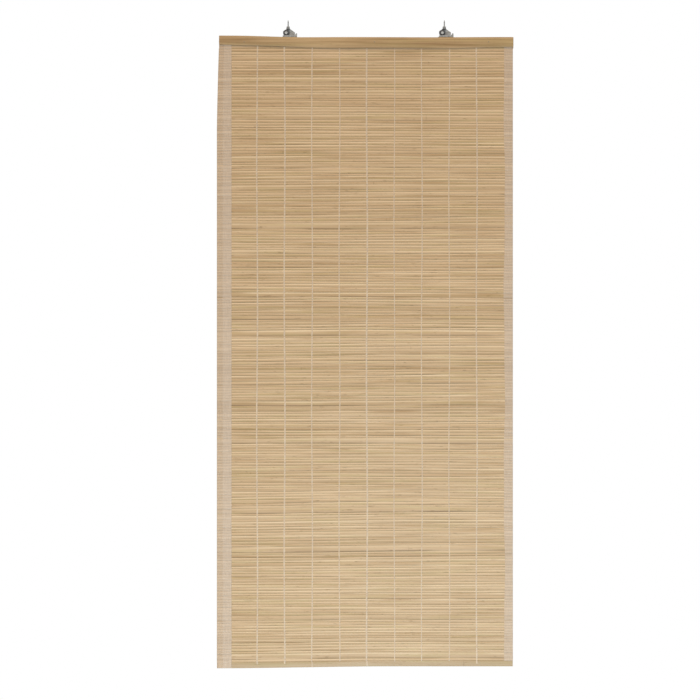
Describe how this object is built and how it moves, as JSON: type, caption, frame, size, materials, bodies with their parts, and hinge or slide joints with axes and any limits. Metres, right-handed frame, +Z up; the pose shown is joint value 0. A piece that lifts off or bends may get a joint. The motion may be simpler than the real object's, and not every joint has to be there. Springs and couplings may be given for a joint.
{
  "type": "bamboo roll-up blind",
  "caption": "Woven bamboo roll-up blind with taped side edges, a head rail, a bottom batten and pulley hangers that swivel on ceiling screws.",
  "frame": {"origin": "midway between the two hanger screws, in the ceiling plane that their collars meet", "axes": "+X along the head rail to the right as seen from the room, +Y from the room towards the window, +Z up"},
  "size_m": [0.752, 0.022, 1.6456],
  "materials": {
    "slat_bamboo": "plain split bamboo, matt",
    "batten_bamboo": "oiled bamboo, satin",
    "rail_wood": "planed softwood, matt",
    "warp_cotton": "twisted cotton thread",
    "tape_cotton": "woven cotton tape",
    "zinc_steel": "zinc plated",
    "wheel_steel": "dark blackened steel",
    "brad_steel": "bright steel, dulled"
  },
  "bodies": {
    "blind": {"head_rail": "rail_wood", "head_batten": "batten_bamboo", "head_batten_brads": "brad_steel", "slat_mat": "slat_bamboo", "left_edge_tape": "tape_cotton", "right_edge_tape": "tape_cotton", "bottom_batten": "slat_bamboo", "warp_thread_1": "warp_cotton", "warp_thread_2": "warp_cotton", "warp_thread_3": "warp_cotton", "warp_thread_4": "warp_cotton", "warp_thread_5": "warp_cotton", "warp_thread_6": "warp_cotton", "warp_thread_7": "warp_cotton", "warp_thread_8": "warp_cotton", "warp_thread_9": "warp_cotton", "left_hanger_bracket": "zinc_steel", "left_bracket_screws": "zinc_steel", "left_pulley_axle": "zinc_steel", "right_hanger_bracket": "zinc_steel", "right_bracket_screws": "zinc_steel", "right_pulley_axle": "zinc_steel"},
    "left_pulley": {"left_pulley_wheel": "wheel_steel"},
    "left_screw": {"left_hanger_screw": "zinc_steel"},
    "right_pulley": {"right_pulley_wheel": "wheel_steel"},
    "right_screw": {"right_hanger_screw": "zinc_steel"}
  },
  "joints": [
    {"name": "left_pulley_spin", "type": "hinge", "parent": "blind", "child": "left_pulley", "pos_m": [-0.20335, 0, -0.01585], "axis": [0, 1, 0], "continuous": true},
    {"name": "left_screw_swivel", "type": "hinge", "parent": "blind", "child": "left_screw", "pos_m": [-0.19835, 0, 0], "axis": [0, 0, 1], "continuous": true},
    {"name": "right_pulley_spin", "type": "hinge", "parent": "blind", "child": "right_pulley", "pos_m": [0.19335, 0, -0.01585], "axis": [0, 1, 0], "continuous": true},
    {"name": "right_screw_swivel", "type": "hinge", "parent": "blind", "child": "right_screw", "pos_m": [0.19835, 0, 0], "axis": [0, 0, 1], "continuous": true}
  ]
}
